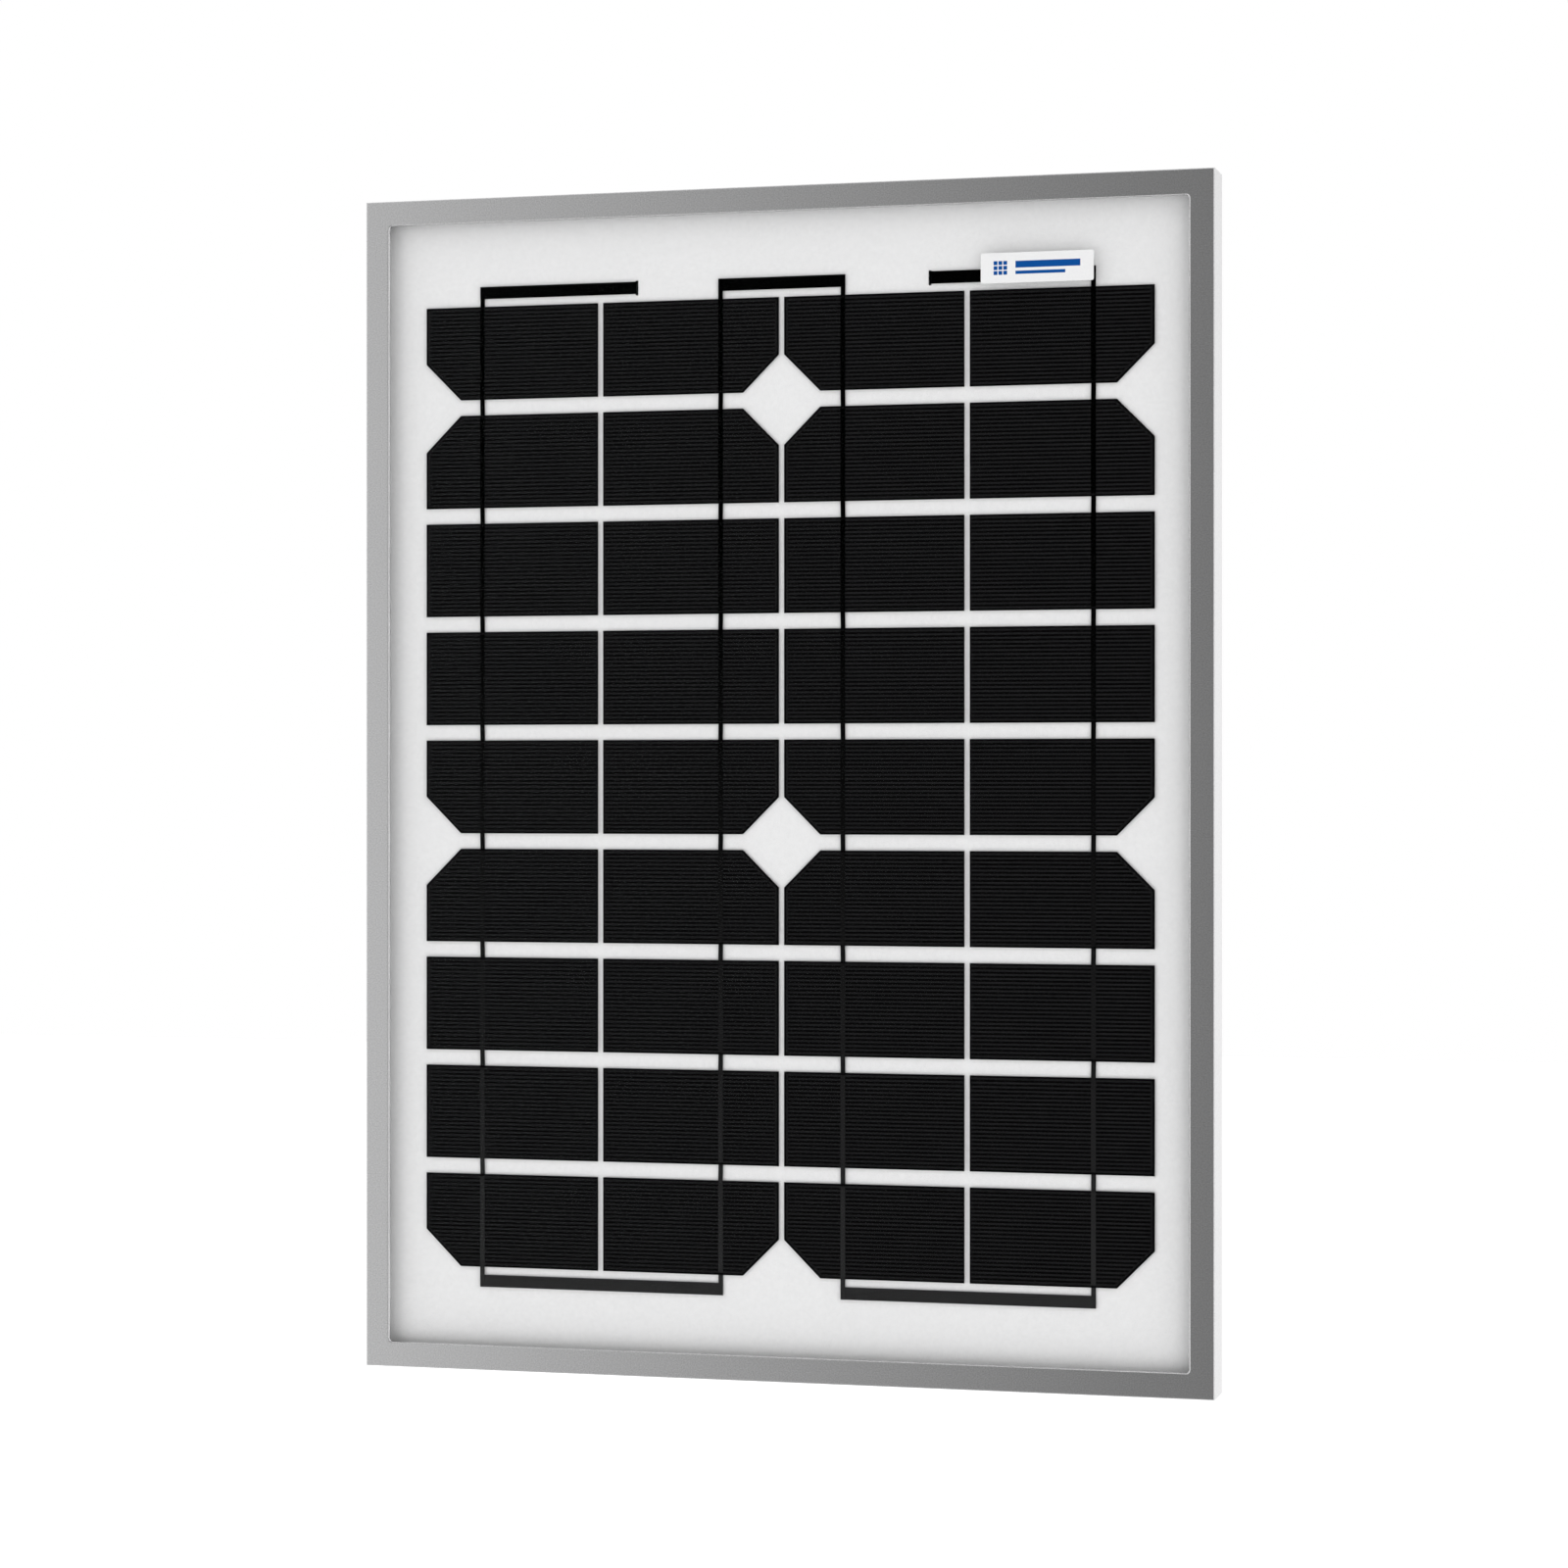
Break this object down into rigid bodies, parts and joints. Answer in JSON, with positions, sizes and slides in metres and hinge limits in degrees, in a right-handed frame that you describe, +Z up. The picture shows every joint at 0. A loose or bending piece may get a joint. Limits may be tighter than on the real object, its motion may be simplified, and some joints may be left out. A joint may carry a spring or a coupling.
{
  "type": "solar panel",
  "caption": "Small upright framed solar panel: black cut cells in rows under glass on a white backsheet, silver aluminium frame, and a rear junction box with a hinged lid and cable glands.",
  "frame": {"origin": "centre of the four mounting holes, in the plane of the back flanges' rear faces", "axes": "+X to the right seen from the glass side, +Z up the panel's long side, +Y out of the back, so the glass faces -Y"},
  "size_m": [0.352, 0.02, 0.48],
  "materials": {
    "anodised_frame": "silver anodised, fine satin",
    "mill_aluminium": "mill finish",
    "edge_tape": "soft foam tape",
    "front_glass": "clear low-iron tempered",
    "clear_film": "clear cast film",
    "white_backsheet": "white laminated film",
    "silicon_cell": "dark blue-black textured silicon",
    "black_ribbon": "black coated copper ribbon",
    "tinned_copper": "bright tin",
    "front_label_film": "white film",
    "rating_label_film": "silver film",
    "box_plastic": "moulded black, fine texture",
    "lid_plastic": "moulded black, fine texture",
    "silicone_bead": "white silicone",
    "seal_rubber": "soft black rubber",
    "steel_pin": "drawn stainless wire",
    "plated_steel": "bright zinc plate",
    "diode_epoxy": "moulded epoxy",
    "solder": "bright solder",
    "terminal_brass": "stamped brass",
    "nut_plastic": "moulded nylon"
  },
  "bodies": {
    "panel": {"frame_top": "anodised_frame", "frame_bottom": "anodised_frame", "frame_left": "anodised_frame", "frame_right": "anodised_frame", "corner_key_top_right": "mill_aluminium", "corner_key_bottom_right": "mill_aluminium", "corner_key_bottom_left": "mill_aluminium", "corner_key_top_left": "mill_aluminium", "edge_seal": "edge_tape", "glass": "front_glass", "encapsulant_front": "clear_film", "encapsulant_rear": "clear_film", "backsheet": "white_backsheet", "string_1_cells": "silicon_cell", "string_1_ribbons": "black_ribbon", "string_2_cells": "silicon_cell", "string_2_ribbons": "black_ribbon", "string_3_cells": "silicon_cell", "string_3_ribbons": "black_ribbon", "string_4_cells": "silicon_cell", "string_4_ribbons": "black_ribbon", "bus_bar_top_left": "black_ribbon", "bus_bar_top_middle": "black_ribbon", "bus_bar_top_right": "black_ribbon", "bus_bar_bottom_left": "black_ribbon", "bus_bar_bottom_right": "black_ribbon", "lead_out_left": "tinned_copper", "lead_out_right": "tinned_copper", "front_label": "front_label_film", "rating_label": "rating_label_film", "junction_box_base": "box_plastic", "junction_box_adhesive": "silicone_bead", "hinge_pin": "steel_pin", "clamp_washers": "plated_steel", "terminal_screws": "plated_steel", "bypass_diode": "diode_epoxy", "diode_leads": "tinned_copper", "solder_joints": "solder", "terminal_left": "terminal_brass", "terminal_right": "terminal_brass", "gland_nut_left": "nut_plastic", "gland_nut_right": "nut_plastic", "gland_grommet_left": "seal_rubber", "gland_grommet_right": "seal_rubber"},
    "lid": {"junction_box_lid": "lid_plastic", "lid_seal": "seal_rubber"}
  },
  "joints": [
    {"name": "lid_hinge", "type": "hinge", "parent": "panel", "child": "lid", "pos_m": [0, -0.0026, 0.21148], "axis": [1, 0, 0], "range_deg": [0, 110]}
  ]
}
